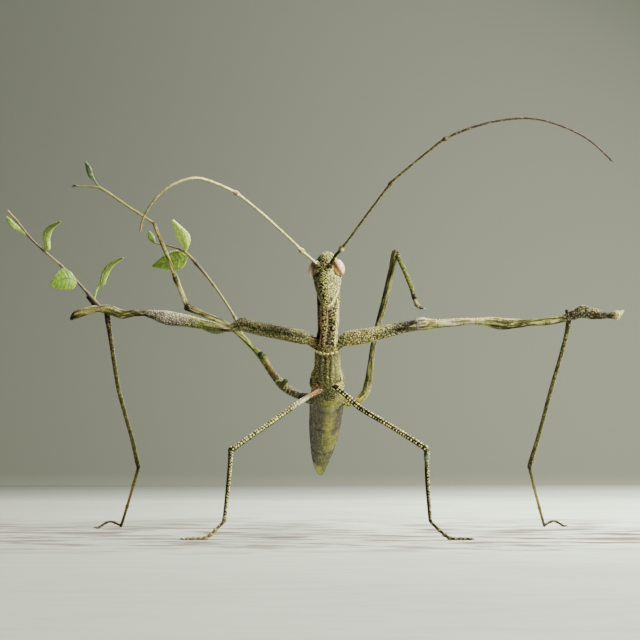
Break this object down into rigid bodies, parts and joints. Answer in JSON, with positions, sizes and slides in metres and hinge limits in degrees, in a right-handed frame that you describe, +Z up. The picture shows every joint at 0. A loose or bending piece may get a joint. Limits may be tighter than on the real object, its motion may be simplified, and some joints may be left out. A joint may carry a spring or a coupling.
{
  "type": "stick insect",
  "caption": "Life-size still model of a wingless twig-like stick insect with outspread arms, raised hind legs, long curved feelers and leafy sprigs on its legs",
  "frame": {"origin": "centre of the insect's bounding box in X and Y, at the ground that its feet stand on", "axes": "+X to the insect's own left, along the spread arms; -Y the way its head faces, the tail pointing to +Y; +Z up"},
  "size_m": [0.1556, 0.1246, 0.1022],
  "materials": {
    "shell": "granular olive and cream-green insect cuticle, stood in by a matte plastic",
    "neck": "granular reddish-brown insect cuticle, stood in by a matte plastic",
    "belly": "ringed yellow-green and purple-grey insect cuticle, stood in by a matte plastic",
    "eye": "smooth pale pink compound eye, stood in by a gloss plastic",
    "feeler": "cream and olive-brown feeler cuticle, stood in by a matte plastic",
    "claw": "dark brown horny claw, stood in by a gloss plastic",
    "twig": "dark purple-brown bark, stood in by a matte plastic",
    "leaf": "waxy fresh green leaf with darker veins, stood in by a matte plastic"
  },
  "bodies": {
    "root": {"eye_right": "eye", "eye_left": "eye", "head": "shell", "feeler_right_base": "feeler", "feeler_right_middle": "feeler", "feeler_right_tip": "feeler", "feeler_left_base": "feeler", "feeler_left_middle": "feeler", "feeler_left_tip": "feeler", "prothorax": "neck", "mesothorax": "shell", "metathorax": "shell", "abdomen_front": "belly", "abdomen_middle": "belly", "abdomen_tip": "belly", "foreleg_right_coxa": "shell", "foreleg_right_femur": "shell", "foreleg_right_tibia": "shell", "foreleg_right_basitarsus": "shell", "foreleg_right_foot": "shell", "foreleg_right_claws": "claw", "foreleg_left_coxa": "shell", "foreleg_left_femur": "shell", "foreleg_left_tibia": "shell", "foreleg_left_basitarsus": "shell", "foreleg_left_foot": "shell", "foreleg_left_claws": "claw", "midleg_right_coxa": "shell", "midleg_right_femur": "shell", "midleg_right_tibia": "shell", "midleg_right_foot": "shell", "midleg_right_claws": "claw", "midleg_left_coxa": "shell", "midleg_left_femur": "shell", "midleg_left_tibia": "shell", "midleg_left_foot": "shell", "midleg_left_claws": "claw", "hindleg_right_coxa": "shell", "hindleg_right_femur": "shell", "hindleg_right_tibia": "shell", "hindleg_right_foot": "shell", "hindleg_right_claws": "claw", "hindleg_left_coxa": "shell", "hindleg_left_femur": "shell", "hindleg_left_tibia": "shell", "hindleg_left_foot": "shell", "hindleg_left_claws": "claw", "arm_sprig_twig": "twig", "arm_sprig_leaf_1": "leaf", "arm_sprig_leaf_2": "leaf", "arm_sprig_leaf_3": "leaf", "arm_sprig_leaf_4": "leaf", "hind_sprig_twig": "twig", "hind_sprig_leaf_1": "leaf", "hind_sprig_leaf_2": "leaf", "hind_sprig_leaf_3": "leaf", "hind_sprig_leaf_4": "leaf", "foot_leaf": "leaf"}
  },
  "joints": []
}
